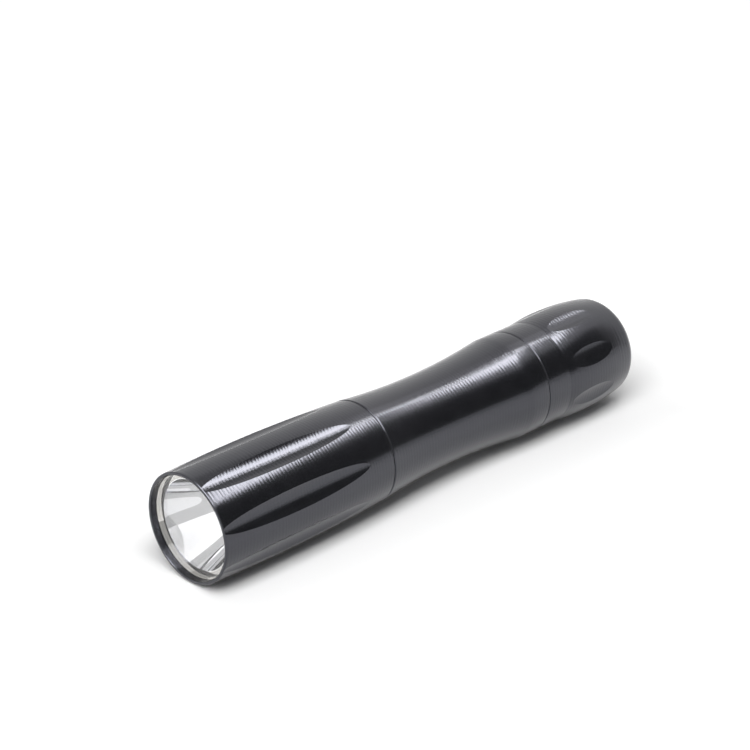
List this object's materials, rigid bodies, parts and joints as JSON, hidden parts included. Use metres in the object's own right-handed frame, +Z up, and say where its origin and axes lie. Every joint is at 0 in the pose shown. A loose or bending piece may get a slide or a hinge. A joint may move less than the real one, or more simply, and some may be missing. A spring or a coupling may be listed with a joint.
{
  "type": "flashlight",
  "caption": "Slim black aluminium flashlight with a fluted head, waisted body and fluted screw-on tail cap with a recessed push switch.",
  "frame": {"origin": "on the ground under the middle of the part, which lies on its side", "axes": "+X along the flashlight from the lens to the tail switch, +Z up"},
  "size_m": [0.1084, 0.0216, 0.0217],
  "materials": {
    "black_anodised": "black anodised aluminium, glossy, with fine turning lines round it",
    "clear_lens": "clear acrylic, polished",
    "mirror_reflector": "vacuum-metallised smooth mirror",
    "black_rubber": "matte black rubber",
    "white_plastic": "white moulded plastic",
    "led_body": "white ceramic",
    "led_phosphor": "clear silicone over yellow phosphor",
    "white_board": "white solder mask on an aluminium core",
    "bare_aluminium": "turned bare aluminium",
    "red_wire": "red wire insulation",
    "black_wire": "black wire insulation",
    "green_board": "green solder mask",
    "black_plastic": "black moulded plastic",
    "ferrite": "dark grey ferrite",
    "brass": "plain brass",
    "cell_metal": null,
    "cell_print": "plain blue shrink sleeve, no print",
    "spring_steel": "nickel-plated spring wire",
    "ivory_plastic": "ivory moulded plastic"
  },
  "bodies": {
    "barrel": {"body_tube": "black_anodised", "head_oring": "black_rubber", "tail_oring": "black_rubber", "cell_can": "cell_metal", "cell_sleeve": "cell_print", "cell_base": "cell_metal", "cell_seal": "black_plastic"},
    "head_carrier": {"reflector_seal": "black_rubber"},
    "head": {"head_shell": "black_anodised", "lens": "clear_lens", "reflector": "mirror_reflector", "led_insulator": "white_plastic", "led_package": "led_body", "led_dome": "led_phosphor", "led_board": "white_board", "led_pill": "bare_aluminium", "led_lead_positive": "red_wire", "led_lead_negative": "black_wire", "driver_board": "green_board", "driver_chip": "black_plastic", "driver_inductor": "ferrite", "driver_contact": "brass"},
    "cap_carrier": {"switch_ground_ring": "brass", "tail_contact_spring": "spring_steel"},
    "cap": {"tail_cap": "black_anodised", "switch_retaining_ring": "bare_aluminium", "switch_board": "green_board", "switch_terminal_live": "brass", "switch_terminal_ground": "brass", "switch_housing": "black_plastic", "switch_return_spring": "spring_steel", "boot_washer": "black_plastic", "switch_boot": "black_rubber"},
    "button": {"switch_plunger": "ivory_plastic"}
  },
  "joints": [
    {"name": "head_travel", "type": "slide", "parent": "barrel", "child": "head_carrier", "axis": [-1, 0, 0], "range_m": [0, 0.005]},
    {"name": "head_turn", "type": "hinge", "parent": "head_carrier", "child": "head", "pos_m": [-0.02, 0, 0.01085], "axis": [-1, 0, 0], "range_deg": [0, 1800]},
    {"name": "cap_travel", "type": "slide", "parent": "barrel", "child": "cap_carrier", "axis": [1, 0, 0], "range_m": [0, 0.004], "deforming": ["tail_contact_spring"]},
    {"name": "cap_turn", "type": "hinge", "parent": "cap_carrier", "child": "cap", "pos_m": [0.035, 0, 0.01085], "axis": [1, 0, 0], "range_deg": [0, 1440]},
    {"name": "button_press", "type": "slide", "parent": "cap", "child": "button", "axis": [-1, 0, 0], "range_m": [0, 0.0015], "stiffness_N_per_m": 1300, "springref_m": -0.0015, "deforming": ["switch_boot", "switch_return_spring"]}
  ],
  "couplings": [
    {"joint": "head_travel", "follows": "head_turn", "m_per_rad": 0.00015915},
    {"joint": "cap_travel", "follows": "cap_turn", "m_per_rad": 0.00015915}
  ]
}
